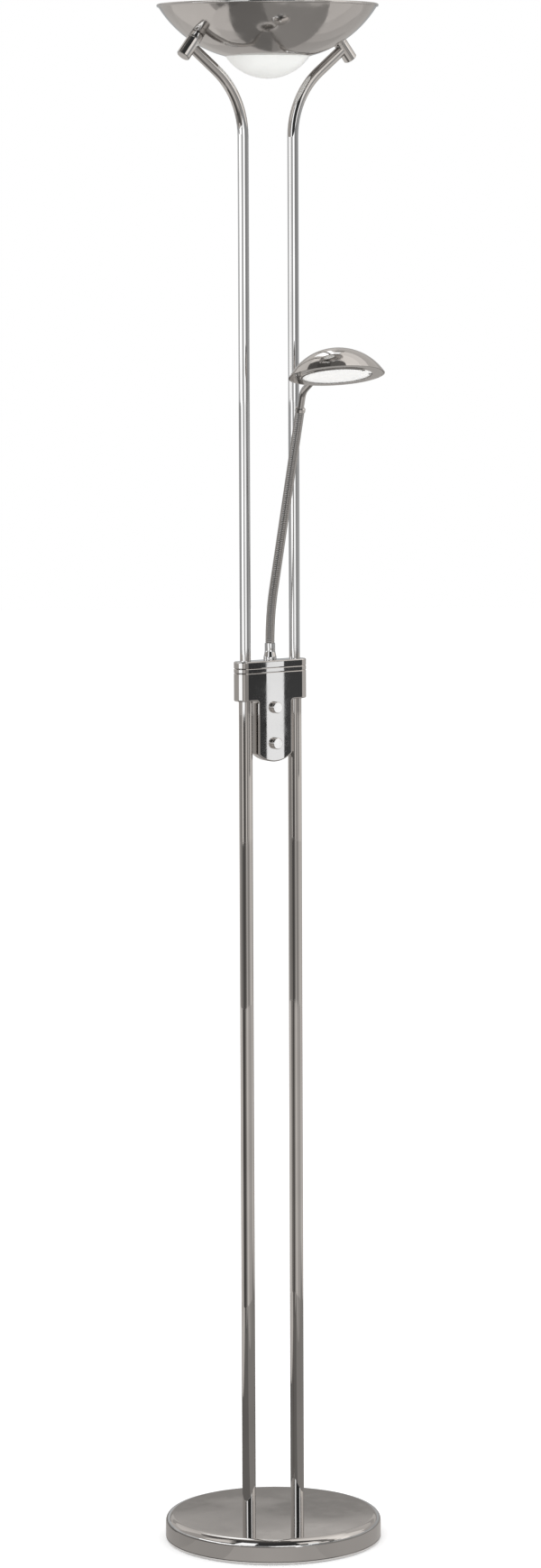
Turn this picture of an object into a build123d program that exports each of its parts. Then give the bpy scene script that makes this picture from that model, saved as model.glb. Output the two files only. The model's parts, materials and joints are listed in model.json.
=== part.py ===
from build123d import *
import math
import os

# Torchiere floor lamp with a reading light. Two poles stand on a round base and carry an
# uplight bowl; a control housing ties them together and carries a flexible reading arm.
# Millimetres, +Z up, origin at the centre of the base's underside. +X runs from the left
# pole to the right one, and the front of the lamp, with its two dials, faces -Y.

os.makedirs("parts", exist_ok=True)

# ---- driving dimensions: the whole lamp -------------------------------------------------
HEIGHT = 1800.0  # floor to the top of the bowl's rim
POLE_SPACING = 69.0  # between the axes of the two poles
HOUSING_Z = 999.0  # underside of the control housing's band

# base
BASE_D = 255.0
BASE_H = 29.4
BASE_EDGE_R = 8.5
BASE_WALL = 1.2
PAD_T = 2.0
PAD_INSET = 4.0
SKIRT_GAP = 0.8  # the cover's skirt stays clear of the floor
POCKET_W = 44.0  # pocket under the weight, for nuts and wiring
POCKET_DEPTH = 14.0
INLET_D = 9.0  # mains inlet at the back of the base
INLET_FLANGE = 1.6
STUD_D = 10.0
STUD_BORE = 6.0
STUD_INTO_POLE = 18.0
STUD_BELOW_NUT = 2.0
WASHER_D = 22.0
WASHER_T = 1.5
NUT_AF = 17.0
NUT_T = 6.0

# poles
LOWER_POLE_D = 16.0
UPPER_POLE_D = 12.7
POLE_WALL = 1.2
LOWER_POLE_IN = 17.0  # how far the lower poles reach into the housing
SPIGOT_IN = 18.0  # how far the couplers reach into each pole
SHOULDER_T = 6.0
ARM_BEND_R = 95.0

# control housing
HOUSING_PAST_POLE = 14.0  # from each pole's axis to the end of the band
BAND_H = 46.4
HOUSING_WALL = 1.8
WALL_OFF_POLE = 1.2  # room between the lower poles and the housing's inside
GROOVE_DROPS = (7.5, 12.8)  # the two fine grooves, measured down from the band's top
GROOVE_W = 1.6
GROOVE_DEEP = 0.7
TONGUE_SIDE_H = 63.0
TONGUE_SAG = 9.0
HOUSING_EDGE_R = 1.6
TONGUE_CORNER_R = 3.0  # the tongue meets the band with this radius, just short of each pole
TONGUE_TIP_R = 2.0
BACK_PLATE_T = 2.0
BAND_BOSS_UP = 23.0
BOSS_D = 7.0
SCREW_D = 3.0
SCREW_HEAD_D = 5.6
SCREW_HEAD_T = 2.2
SCREW_BITE = 6.0
BAND_SCREW_SUNK = 6.0

# dials and their dimmers
DIAL_DROPS = (8.5, 50.5)  # dial axes, measured down from the band's underside
KNOB_D = 13.4
KNOB_PROUD = 5.6
KNOB_EDGE = 0.8
KNOB_COLLAR = 1.0
KNOB_FACE_T = 1.4  # what closes the front of the shaft's hole
KNOB_FLUTES = 20
FLUTE_R = 0.65
SHAFT_D = 4.0
SHAFT_FLAT = 0.6
DIMMER_SIDE = 17.0
DIMMER_T = 5.6
DIMMER_CORNER_R = 1.5
BUSHING_D = 7.0
BOARD_OFF_WALL = 2.7
BOARD_T = 1.6
TERMINAL = (24.0, 13.0, 16.0)
TERMINAL_BEVEL = 1.0
TERMINAL_UP = 7.0
TERMINAL_POLES = 3
TERMINAL_PITCH = 7.5
TERMINAL_HOLE_D = 3.4

# ferrule under the reading arm
FERRULE_H = 19.4
FERRULE_WALL = 0.65
FERRULE_FLARE = 1.4
FERRULE_FOOT_H = 4.0
NECK_IN_FERRULE = 8.0
NIPPLE_D = 10.0
NIPPLE_L = 9.0
FERRULE_NUT_AF = 14.0
FERRULE_NUT_T = 4.0

# flexible neck, stem and their bend
ARM_YAW = 6.0  # the arm leans out a little to the left of straight ahead
NECK_D = 10.8
NECK_BORE = 6.6
NECK_LEAN = 17.5  # from the vertical, after its bend
NECK_BEND_R = 215.0
NECK_STRAIGHT = 216.5
RIBS_PER_SPAN = 22  # the neck is three spans of this many ribs
RIB_DEEP = 0.5
RIB_CREST = 0.6  # share of a rib's pitch at full diameter
COLLAR_PROUD = 0.6
COLLAR_H = 5.0
COLLAR_SPIGOT = 9.0
STEM_D = 8.0
STEM_BORE = 5.0
STEM_IN_COLLAR = 3.5
STEM_RISE = 12.0
STEM_BEND_R = 18.0
STEM_TURN = 44.0
STEM_REACH = 27.0
STEM_IN_HEAD = 9.0

# reading head
HEAD_OUT = 162.8  # centre of its rim circle, out from the lamp's axis
HEAD_UP = 314.5  # and up from the ferrule's top
HEAD_TIP = 13.5  # front edge raised
HEAD_ROLL = 3.2  # right side lowered
HEAD_D = 109.0
HEAD_RISE = 31.0
HEAD_WALL = 1.0
RING_OPENING = 80.0
RING_T = 1.2
RING_BEAD = 1.5
LENS_FLANGE = 2.5
LENS_T = 3.0
CIRCLIP_WIRE = 1.2
CIRCLIP_GAP = 34.0  # degrees between its ends
CIRCLIP_AT = 42.0  # where the gap's middle is, round from straight ahead
CIRCLIP_HOOK = 3.4
HUB_W = 18.0
HUB_FRONT = 34.0  # the hub's flat front face, back from the head's axis
HUB_H = 17.0
CAP_HOLDER = (16.0, 18.0, 16.0)
CAP_HOLDER_R = 2.0
CAPSULE_D = 13.0
CAPSULE_L = 34.0
CAPSULE_PINCH = 8.0
LAMP_TIP_R = 1.0  # what stays flat at the end of either lamp's rounded quartz

# bowl and uplight
BOWL_D = 254.8
BOWL_ARC_R = 128.6
BOWL_WALL = 1.2
BOWL_DEPTH = 57.0  # rim bead's centre down to the bottom opening's edge
BOWL_OPENING = 97.4
BEAD_D = 3.5
GLASS_WALL = 3.0
GLASS_SAG = 25.5
GLASS_FLANGE = 5.0
BARREL_TILT = 38.3  # where the barrels touch the bowl, as the slope of its wall there
BARREL_OVER_POLE = 3.3  # a barrel is this much wider than the pole that enters its side
BARREL_L = 32.0
BARREL_GROOVE = 0.5
BARREL_GROOVE_DROP = 9.0  # below the barrel's top
BARREL_EDGE = 0.8
POLE_SHORT_OF_AXIS = 3.0
BOWL_SCREW_D = 4.0
BOWL_SCREW_BITE = 10.0
BOWL_SCREW_HEAD = (8.0, 3.0)
BOWL_SCREW_TAPER = 15.0
SPACER_D = 12.0
SPACER_T = 1.0
STRAP_W = 22.0
STRAP_T = 1.5
STRAP_Z_OVER_GLASS = 13.0
STRAP_TAB = 13.0
LAMP_L = 118.0
LAMP_D = 10.0
LAMP_CAP = (8.0, 7.0)
LAMP_PINCH = (6.4, 4.0)
LAMP_UP = 18.0
HOLDER = (15.0, 16.0, 27.0)
HOLDER_RECESS = 3.0
HOLDER_EDGE_R = 2.0

# clearances
FIT = 0.05  # pieces pushed or screwed together
SEAT = 0.1  # a piece laid in a curved seat, or through a plain hole
SCREW_FREE = 0.2  # round a screw's shank
RUN = 0.05  # round a turning shaft, all round
MOVE = 0.4  # between a moving piece and its neighbour
NECK_FREE = 0.15  # round the neck in its socket


# ---- shared helpers ---------------------------------------------------------------------
def tube(length, outer, inner, plane):
    """A plain tube of the two diameters, standing on the plane."""
    with BuildPart() as part:
        with BuildSketch(plane):
            Circle(outer / 2)
            Circle(inner / 2, mode=Mode.SUBTRACT)
        extrude(amount=length)
    return part


def hexagon_nut(across_flats, thickness, bore, planes):
    """Hexagon nuts with the same bore, one on each plane, as one part."""
    with BuildPart() as part:
        with BuildSketch(*planes):
            RegularPolygon(across_flats / 2, 6, major_radius=False)
            Circle(bore / 2, mode=Mode.SUBTRACT)
        extrude(amount=thickness)
    return part


pole_x = POLE_SPACING / 2
sides = {"left": -1, "right": 1}

# ---- base -------------------------------------------------------------------------------
cover_r = BASE_D / 2
cover_inside_r = cover_r - BASE_WALL
cover_ceiling = BASE_H - BASE_WALL
pocket_roof = PAD_T + POCKET_DEPTH
inlet_z = (PAD_T + pocket_roof) / 2

with BuildPart() as base_cover:
    with BuildSketch(Plane.XY.offset(SKIRT_GAP)):
        Circle(cover_r)
    extrude(amount=BASE_H - SKIRT_GAP)
    fillet(base_cover.edges().group_by(Axis.Z)[-1], BASE_EDGE_R)
    offset(amount=-BASE_WALL, openings=base_cover.faces().sort_by(Axis.Z)[0])
    with BuildSketch(Plane.XY.offset(BASE_H)):
        with Locations((-pole_x, 0), (pole_x, 0)):
            Circle(STUD_D / 2 + SEAT)
    extrude(amount=-2 * BASE_WALL, mode=Mode.SUBTRACT)
    with BuildSketch(Plane((0, cover_r, inlet_z), x_dir=(1, 0, 0), z_dir=(0, 1, 0))):
        Circle(INLET_D / 2 + SEAT)
    extrude(amount=-3 * BASE_WALL, mode=Mode.SUBTRACT)

# The weight is a casting with a round-ended pocket beneath and a wiring channel to the back.
with BuildPart() as base_weight:
    with BuildSketch(Plane.XY.offset(PAD_T)):
        Circle(cover_inside_r - SEAT)
    extrude(amount=cover_ceiling - PAD_T)
    chamfer(base_weight.edges().group_by(Axis.Z)[-1], BASE_EDGE_R)
    with BuildSketch(Plane.XY.offset(PAD_T)):
        SlotCenterToCenter(POLE_SPACING, POCKET_W)
    extrude(amount=POCKET_DEPTH, mode=Mode.SUBTRACT)
    with BuildSketch(Plane.XY.offset(PAD_T)):
        with Locations((0, cover_r / 2)):
            Rectangle(INLET_D, cover_r)
    extrude(amount=inlet_z + INLET_D / 2 - PAD_T, mode=Mode.SUBTRACT)
    with BuildSketch(Plane.XY.offset(pocket_roof)):
        with Locations((-pole_x, 0), (pole_x, 0)):
            Circle(STUD_D / 2 + SEAT)
    extrude(amount=cover_ceiling - pocket_roof, mode=Mode.SUBTRACT)

with BuildPart() as base_pad:
    with BuildSketch(Plane.XY):
        Circle(cover_inside_r - PAD_INSET)
    extrude(amount=PAD_T)

washer_z = pocket_roof - WASHER_T
nut_z = washer_z - NUT_T
stud_z = nut_z - STUD_BELOW_NUT
stud_top = BASE_H + STUD_INTO_POLE
foot_planes = [Plane((side * pole_x, 0, 0)) for side in sides.values()]

with BuildPart() as base_washers:
    with BuildSketch(*[plane.offset(washer_z) for plane in foot_planes]):
        Circle(WASHER_D / 2)
        Circle(STUD_D / 2 + SEAT, mode=Mode.SUBTRACT)
    extrude(amount=WASHER_T)

base_nuts = hexagon_nut(NUT_AF, NUT_T, STUD_D + 2 * FIT, [p.offset(nut_z) for p in foot_planes])

with BuildPart() as base_studs:
    with BuildSketch(*[plane.offset(stud_z) for plane in foot_planes]):
        Circle(STUD_D / 2)
        Circle(STUD_BORE / 2, mode=Mode.SUBTRACT)
    extrude(amount=stud_top - stud_z)

# Each plug is fixed in the foot of its pole, and the stud screws into it.
lower_pole_bore = LOWER_POLE_D - 2 * POLE_WALL
with BuildPart() as pole_plugs:
    with BuildSketch(*[plane.offset(BASE_H) for plane in foot_planes]):
        Circle(lower_pole_bore / 2 - FIT)
        Circle(STUD_D / 2 + FIT, mode=Mode.SUBTRACT)
    extrude(amount=STUD_INTO_POLE + STUD_BELOW_NUT)

# A flanged rubber bush lines the inlet; nothing comes out of it here.
with BuildPart() as base_grommet:
    inlet_plane = Plane((0, cover_r, inlet_z), x_dir=(1, 0, 0), z_dir=(0, 1, 0))
    with BuildSketch(inlet_plane.offset(-3 * BASE_WALL)):
        Circle(INLET_D / 2)
    extrude(amount=3 * BASE_WALL + INLET_FLANGE)
    with BuildSketch(inlet_plane.offset(FIT)):
        Circle(INLET_D / 2 + INLET_FLANGE)
    extrude(amount=INLET_FLANGE - FIT)
    chamfer(base_grommet.edges().group_by(Axis.Y)[-1], INLET_FLANGE / 4)
    with BuildSketch(inlet_plane.offset(INLET_FLANGE)):
        Circle(INLET_D / 2 - INLET_FLANGE)
    extrude(amount=-4 * BASE_WALL - INLET_FLANGE, mode=Mode.SUBTRACT)

# ---- poles ------------------------------------------------------------------------------
lower_pole_top = HOUSING_Z + LOWER_POLE_IN
upper_pole_foot = lower_pole_top + SHOULDER_T
upper_pole_bore = UPPER_POLE_D - 2 * POLE_WALL
tip = math.radians(BARREL_TILT)

# The bowl's wall is one arc. Its middle line runs from the bottom opening to the rim bead.
bead_r = BOWL_D / 2 - BEAD_D / 2
bead_z = HEIGHT - BEAD_D / 2
wall_arc_r = BOWL_ARC_R - BOWL_WALL / 2
opening_r = BOWL_OPENING / 2
opening_z = bead_z - BOWL_DEPTH
chord = math.hypot(bead_r - opening_r, bead_z - opening_z)
back_off = math.sqrt(wall_arc_r**2 - (chord / 2) ** 2)
arc_r = (bead_r + opening_r) / 2 - back_off * (bead_z - opening_z) / chord
arc_z = (bead_z + opening_z) / 2 + back_off * (bead_r - opening_r) / chord

# The barrels stand square to the bowl's wall, and the poles enter their sides squarely.
barrel_d = UPPER_POLE_D + BARREL_OVER_POLE
barrel_out = BOWL_ARC_R + SEAT + BARREL_L / 2
barrel_x = arc_r + barrel_out * math.sin(tip)
barrel_z = arc_z - barrel_out * math.cos(tip)
bend_out = ARM_BEND_R * (1 - math.sin(tip))
slant = (barrel_x - pole_x - bend_out) / math.cos(tip)
bend_z = barrel_z - slant * math.sin(tip) - ARM_BEND_R * math.cos(tip)


def coupler(side):
    """Turned reducer that joins a lower pole to an upper one, bored for the wiring."""
    with BuildPart() as part:
        with BuildSketch(Plane((side * pole_x, 0, lower_pole_top - SPIGOT_IN))):
            Circle(lower_pole_bore / 2 - FIT)
        extrude(amount=SPIGOT_IN)
        with BuildSketch(Plane((side * pole_x, 0, lower_pole_top))):
            Circle(LOWER_POLE_D / 2)
        extrude(amount=SHOULDER_T)
        with BuildSketch(Plane((side * pole_x, 0, upper_pole_foot))):
            Circle(upper_pole_bore / 2 - FIT)
        extrude(amount=SPIGOT_IN)
        with BuildSketch(Plane((side * pole_x, 0, lower_pole_top - SPIGOT_IN))):
            Circle(STUD_BORE / 2)
        extrude(amount=2 * SPIGOT_IN + SHOULDER_T, mode=Mode.SUBTRACT)
    return part


def upper_pole(side):
    """Tube that rises from the housing, bends outward and runs up to its barrel."""
    run = slant - POLE_SHORT_OF_AXIS
    start = (side * pole_x, upper_pole_foot)
    bend_from = (side * pole_x, bend_z)
    bend_to = (side * (pole_x + bend_out), bend_z + ARM_BEND_R * math.cos(tip))
    end = (bend_to[0] + side * run * math.cos(tip), bend_to[1] + run * math.sin(tip))
    with BuildPart() as part:
        with BuildLine(Plane.XZ) as path:
            Line(start, bend_from)
            TangentArc(bend_from, bend_to, tangent=(0, 1))
            Line(bend_to, end)
        with BuildSketch(Plane((side * pole_x, 0, upper_pole_foot))):
            Circle(UPPER_POLE_D / 2)
            Circle(upper_pole_bore / 2, mode=Mode.SUBTRACT)
        sweep(path=path.wire())
    return part


def barrel(side):
    """Turned barrel between pole and bowl: side socket for the pole, thread for the screw."""
    axis = Vector(-side * math.sin(tip), 0, math.cos(tip))
    centre = Vector(side * barrel_x, 0, barrel_z)
    foot = Plane(centre - axis * (BARREL_L / 2), x_dir=(0, 1, 0), z_dir=axis)
    toward_pole = Vector(-side * math.cos(tip), 0, -math.sin(tip))
    socket = Plane(centre + toward_pole * POLE_SHORT_OF_AXIS, x_dir=(0, 1, 0), z_dir=toward_pole)
    with BuildPart() as part:
        with BuildSketch(foot):
            Circle(barrel_d / 2)
        extrude(amount=BARREL_L)
        chamfer(part.edges(), BARREL_EDGE)
        with BuildSketch(foot.offset(BARREL_L - BARREL_GROOVE_DROP)):
            Circle(barrel_d / 2)
            Circle(barrel_d / 2 - BARREL_GROOVE, mode=Mode.SUBTRACT)
        extrude(amount=2 * BARREL_GROOVE, mode=Mode.SUBTRACT)
        with BuildSketch(socket):
            Circle(UPPER_POLE_D / 2 + FIT)
        extrude(amount=barrel_d, mode=Mode.SUBTRACT)
        with BuildSketch(foot.offset(BARREL_L)):
            Circle(BOWL_SCREW_D / 2 + FIT)
        extrude(amount=-BOWL_SCREW_BITE - BOWL_SCREW_D / 2, mode=Mode.SUBTRACT)
    return part


lower_poles = {
    name: tube(lower_pole_top - BASE_H, LOWER_POLE_D, lower_pole_bore, Plane((s * pole_x, 0, BASE_H)))
    for name, s in sides.items()
}
couplers = {name: coupler(s) for name, s in sides.items()}
upper_poles = {name: upper_pole(s) for name, s in sides.items()}
barrels = {name: barrel(s) for name, s in sides.items()}

# ---- control housing --------------------------------------------------------------------
band_top = HOUSING_Z + BAND_H
band_w = POLE_SPACING + 2 * HOUSING_PAST_POLE
housing_t = LOWER_POLE_D + 2 * (WALL_OFF_POLE + HOUSING_WALL)
half_t = housing_t / 2
tongue_w = POLE_SPACING - LOWER_POLE_D - 2 * TONGUE_CORNER_R
boss_x = (TERMINAL[0] / 2 + pole_x - LOWER_POLE_D / 2) / 2  # between the block and a pole
front_inside = -half_t + HOUSING_WALL
tongue_tip = HOUSING_Z - TONGUE_SIDE_H - TONGUE_SAG
boss_z = HOUSING_Z + BAND_BOSS_UP
dial_z = {"upper": HOUSING_Z - DIAL_DROPS[0], "lower": HOUSING_Z - DIAL_DROPS[1]}
tongue_screw_z = (dial_z["upper"] + dial_z["lower"]) / 2
board_front = front_inside + DIMMER_T
board_back = board_front + BOARD_T


def tongue(inset, top, depth):
    """The tongue's outline, straight sides and a drooping tip, raised forward by a depth."""
    half = tongue_w / 2 - inset
    corner = HOUSING_Z - TONGUE_SIDE_H + inset / 2
    with BuildPart() as part:
        with BuildSketch(Plane.XZ):
            with BuildLine():
                Line((-half, top), (-half, corner))
                ThreePointArc((-half, corner), (0, tongue_tip + inset), (half, corner))
                Line((half, corner), (half, top))
                Line((half, top), (-half, top))
            make_face()
        extrude(amount=depth)
    return part.part


def band(inset):
    """The band's stadium outline raised between its end walls, inset all round."""
    with BuildPart() as part:
        with BuildSketch(Plane.XY.offset(HOUSING_Z + inset)):
            SlotOverall(band_w - 2 * inset, housing_t - 2 * inset)
        extrude(amount=BAND_H - 2 * inset)
    return part.part


def band_cuts():
    """Grooves round the band, and holes for the four pole ends and the ferrule's nipple."""
    with BuildPart() as part:
        for drop in GROOVE_DROPS:
            with BuildPart():
                with BuildSketch(Plane.XY.offset(band_top - drop)):
                    SlotOverall(band_w + 2 * GROOVE_DEEP, housing_t + 2 * GROOVE_DEEP)
                extrude(amount=-GROOVE_W)
                for up in (-1, 1):
                    with BuildSketch(Plane.XY.offset(band_top - drop - GROOVE_W / 2)):
                        SlotOverall(band_w - 2 * GROOVE_DEEP, housing_t - 2 * GROOVE_DEEP)
                    extrude(
                        amount=up * GROOVE_W,
                        taper=-math.degrees(math.atan2(2 * GROOVE_DEEP, GROOVE_W)),
                        mode=Mode.SUBTRACT,
                    )
        with BuildSketch(Plane.XY.offset(HOUSING_Z)):
            with Locations((-pole_x, 0), (pole_x, 0)):
                Circle(LOWER_POLE_D / 2 + SEAT)
        extrude(amount=HOUSING_WALL)
        with BuildSketch(Plane.XY.offset(band_top)):
            with Locations((-pole_x, 0), (pole_x, 0)):
                Circle(UPPER_POLE_D / 2 + SEAT)
            Circle(NIPPLE_D / 2 + SEAT)
        extrude(amount=-HOUSING_WALL)
    return part.part


def edges_to_round(part, outer_face):
    """The edges of a half's outer face, and the band's edges round its two ends."""
    arcs = part.edges().filter_by(GeomType.CIRCLE)
    round_ends = [
        arcs.filter_by_position(Axis.Z, z - FIT, z + FIT) for z in (HOUSING_Z, band_top)
    ]
    return outer_face.edges() + round_ends[0] + round_ends[1]


# The front half carries the tongue with the dials, and the bosses that its screws bite into.
with BuildPart() as housing_front:
    add(band(0))
    split(bisect_by=Plane.XZ, keep=Keep.TOP)
    add(tongue(0, HOUSING_Z + HOUSING_WALL, half_t))
    fillet(
        housing_front.edges().filter_by(Axis.Y).group_by(Axis.Z)[0],
        TONGUE_TIP_R,
    )
    fillet(
        housing_front.edges()
        .filter_by(Axis.Y)
        .filter_by_position(Axis.Z, HOUSING_Z - SEAT, HOUSING_Z + SEAT)
        .filter_by_position(Axis.X, -tongue_w / 2 - SEAT, tongue_w / 2 + SEAT),
        TONGUE_CORNER_R,
    )
    fillet(edges_to_round(housing_front, housing_front.faces().sort_by(Axis.Y)[0]), HOUSING_EDGE_R)
    add(band(HOUSING_WALL), mode=Mode.SUBTRACT)
    add(tongue(HOUSING_WALL, HOUSING_Z + 3 * HOUSING_WALL, -front_inside), mode=Mode.SUBTRACT)
    add(band_cuts(), mode=Mode.SUBTRACT)
    with BuildSketch(Plane.XZ.offset(-front_inside)):
        with Locations((-boss_x, boss_z), (boss_x, boss_z)):
            Circle(BOSS_D / 2)
    extrude(amount=front_inside)
    with BuildSketch(Plane.XZ.offset(-front_inside)):
        with Locations((0, tongue_screw_z)):
            Circle(BOSS_D / 2)
    extrude(amount=-DIMMER_T)
    with BuildSketch(Plane.XZ):
        with Locations((-boss_x, boss_z), (boss_x, boss_z), (0, tongue_screw_z)):
            Circle(SCREW_D / 2 + FIT)
    extrude(amount=-front_inside - FIT, mode=Mode.SUBTRACT)
    with BuildSketch(Plane.XZ.offset(half_t)):
        with Locations(*[(0, z) for z in dial_z.values()]):
            Circle(BUSHING_D / 2 + SEAT)
    extrude(amount=-HOUSING_WALL, mode=Mode.SUBTRACT)

# The back half closes the band and the tongue's open back, and is screwed to the front.
with BuildPart() as housing_back:
    add(band(0))
    split(bisect_by=Plane.XZ, keep=Keep.BOTTOM)
    add(band(HOUSING_WALL), mode=Mode.SUBTRACT)
    add(tongue(0, HOUSING_Z + HOUSING_WALL, -BACK_PLATE_T))
    fillet(
        housing_back.edges().filter_by(Axis.Y).group_by(Axis.Z)[0],
        TONGUE_TIP_R,
    )
    fillet(edges_to_round(housing_back, housing_back.faces().sort_by(Axis.Y)[-1]), HOUSING_EDGE_R)
    add(band_cuts(), mode=Mode.SUBTRACT)
    with BuildSketch(Plane.XZ.offset(-half_t + HOUSING_WALL)):
        with Locations((-boss_x, boss_z), (boss_x, boss_z)):
            Circle(BOSS_D / 2)
    extrude(amount=half_t - HOUSING_WALL)
    with BuildSketch(Plane.XZ):
        with Locations((0, tongue_screw_z)):
            Circle(BOSS_D / 2)
    extrude(amount=-board_back)
    with BuildSketch(Plane.XZ.offset(-half_t)):
        with Locations((-boss_x, boss_z), (boss_x, boss_z)):
            Circle(SCREW_HEAD_D / 2 + SCREW_FREE)
    extrude(amount=BAND_SCREW_SUNK, mode=Mode.SUBTRACT)
    with BuildSketch(Plane.XZ.offset(-half_t)):
        with Locations((-boss_x, boss_z), (boss_x, boss_z), (0, tongue_screw_z)):
            Circle(SCREW_D / 2 + SCREW_FREE)
    extrude(amount=housing_t, mode=Mode.SUBTRACT)


def housing_screw(x, z, head_y):
    """Screw driven from behind, its head's seat at head_y."""
    plane = Plane((x, head_y, z), x_dir=(1, 0, 0), z_dir=(0, -1, 0))
    shank = head_y - front_inside - 2 * FIT
    with BuildPart() as part:
        with BuildSketch(plane):
            Circle(SCREW_D / 2)
        extrude(amount=min(shank, head_y + SCREW_BITE))
        with BuildSketch(plane):
            Circle(SCREW_HEAD_D / 2)
        extrude(amount=-SCREW_HEAD_T)
    return part.part


with BuildPart() as housing_screws:
    for x in (-boss_x, boss_x):
        add(housing_screw(x, boss_z, half_t - BAND_SCREW_SUNK))
    add(housing_screw(0, tongue_screw_z, BACK_PLATE_T))

# ---- dimmers, dials, board and terminal block ---------------------------------------------
board_w = tongue_w - 2 * (HOUSING_WALL + BOARD_OFF_WALL)
board_foot = dial_z["lower"] - DIMMER_SIDE / 2
board_head = dial_z["upper"] + DIMMER_SIDE / 2
with BuildPart() as control_board:
    with BuildSketch(Plane.XZ.offset(-board_front)):
        with Locations((0, (board_foot + board_head) / 2)):
            Rectangle(board_w, board_head - board_foot)
        with Locations((0, tongue_screw_z)):
            Circle(SCREW_D / 2 + SCREW_FREE, mode=Mode.SUBTRACT)
    extrude(amount=-BOARD_T)

shaft_in = board_front - 2 * FIT
knob_back = -half_t - MOVE
knob_front = -half_t - KNOB_PROUD
shaft_in_knob = knob_back - knob_front - KNOB_FACE_T


def dimmer(z):
    """Rotary dimmer: square case on the board, bushing through the housing's front wall."""
    with BuildPart() as part:
        with BuildSketch(Plane.XZ.offset(-board_front)):
            with Locations((0, z)):
                RectangleRounded(DIMMER_SIDE, DIMMER_SIDE, DIMMER_CORNER_R)
        extrude(amount=DIMMER_T)
        with BuildSketch(Plane.XZ.offset(-front_inside)):
            with Locations((0, z)):
                Circle(BUSHING_D / 2)
        extrude(amount=HOUSING_WALL - SEAT)
        with BuildSketch(Plane.XZ.offset(half_t)):
            with Locations((0, z)):
                Circle(SHAFT_D / 2 + RUN)
        extrude(amount=-(board_front - FIT + half_t), mode=Mode.SUBTRACT)
    return part


def d_section(radius, flat):
    """A round section with one flat, the way a dimmer's shaft is cut."""
    with BuildSketch() as section:
        Circle(radius)
        with Locations((0, 2 * radius - flat)):
            Rectangle(2 * radius, 2 * radius, mode=Mode.SUBTRACT)
    return section.sketch


def dimmer_shaft(z):
    """Shaft that turns in the dimmer; its outer end has a flat for the dial."""
    with BuildPart() as part:
        with BuildSketch(Plane((0, shaft_in, z), x_dir=(1, 0, 0), z_dir=(0, -1, 0))):
            Circle(SHAFT_D / 2)
        extrude(amount=shaft_in - knob_back)
        with BuildSketch(Plane((0, knob_back, z), x_dir=(1, 0, 0), z_dir=(0, -1, 0))):
            add(d_section(SHAFT_D / 2, SHAFT_FLAT))
        extrude(amount=shaft_in_knob)
    return part


def knob(z):
    """Fluted dial with a plain collar at its back and a bevelled front edge."""
    back = Plane((0, knob_back, z), x_dir=(1, 0, 0), z_dir=(0, -1, 0))
    depth = knob_back - knob_front
    with BuildPart() as part:
        with BuildSketch(back):
            Circle(KNOB_D / 2)
        extrude(amount=depth)
        chamfer(part.edges().group_by(Axis.Y)[0], KNOB_EDGE)
        with BuildSketch(back.offset(KNOB_COLLAR)):
            with PolarLocations(KNOB_D / 2 + FLUTE_R / 3, KNOB_FLUTES):
                Circle(FLUTE_R)
        extrude(amount=depth, mode=Mode.SUBTRACT)
        with BuildSketch(back):
            add(d_section(SHAFT_D / 2 + FIT, SHAFT_FLAT))
        extrude(amount=shaft_in_knob + FIT, mode=Mode.SUBTRACT)
    return part


dimmers = {name: dimmer(z) for name, z in dial_z.items()}
dimmer_shafts = {name: dimmer_shaft(z) for name, z in dial_z.items()}
knobs = {name: knob(z) for name, z in dial_z.items()}

# The block stands against the back half's wall, between the bosses.
with BuildPart() as terminal_block:
    block_plane = Plane((0, half_t - HOUSING_WALL, HOUSING_Z + TERMINAL_UP + TERMINAL[2] / 2))
    with BuildSketch(Plane(block_plane.origin, x_dir=(1, 0, 0), z_dir=(0, -1, 0))):
        Rectangle(TERMINAL[0], TERMINAL[2])
    extrude(amount=TERMINAL[1])
    chamfer(terminal_block.faces().sort_by(Axis.Y)[0].edges(), TERMINAL_BEVEL)
    with BuildSketch(Plane.XY.offset(HOUSING_Z + TERMINAL_UP)):
        with Locations((0, half_t - HOUSING_WALL - TERMINAL[1] / 2)):
            with GridLocations(TERMINAL_PITCH, 0, TERMINAL_POLES, 1):
                Circle(TERMINAL_HOLE_D / 2)
    extrude(amount=TERMINAL[2], mode=Mode.SUBTRACT)

# ---- ferrule and its nut ----------------------------------------------------------------
ferrule_top = band_top + FERRULE_H
socket_floor = ferrule_top - NECK_IN_FERRULE - MOVE
with BuildPart() as arm_ferrule:
    with BuildSketch(Plane.XZ):
        with BuildLine():
            socket_r = NECK_D / 2 + NECK_FREE
            top_r = socket_r + FERRULE_WALL
            foot_r = top_r + FERRULE_FLARE
            Line((foot_r, band_top), (foot_r, band_top + FERRULE_FOOT_H / 2))
            Spline(
                (foot_r, band_top + FERRULE_FOOT_H / 2),
                (top_r, ferrule_top - NECK_IN_FERRULE),
                tangents=[(0, 1), (0, 1)],
            )
            Line((top_r, ferrule_top - NECK_IN_FERRULE), (top_r, ferrule_top))
            Line((top_r, ferrule_top), (socket_r, ferrule_top))
            Line((socket_r, ferrule_top), (socket_r, socket_floor))
            Line((socket_r, socket_floor), (STUD_BORE / 2, socket_floor))
            Line((STUD_BORE / 2, socket_floor), (STUD_BORE / 2, band_top - NIPPLE_L))
            Line((STUD_BORE / 2, band_top - NIPPLE_L), (NIPPLE_D / 2, band_top - NIPPLE_L))
            Line((NIPPLE_D / 2, band_top - NIPPLE_L), (NIPPLE_D / 2, band_top))
            Line((NIPPLE_D / 2, band_top), (foot_r, band_top))
        make_face()
    revolve(axis=Axis.Z)

ferrule_nut = hexagon_nut(
    FERRULE_NUT_AF,
    FERRULE_NUT_T,
    NIPPLE_D + 2 * FIT,
    [Plane.XY.offset(band_top - HOUSING_WALL - FERRULE_NUT_T)],
)

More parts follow.
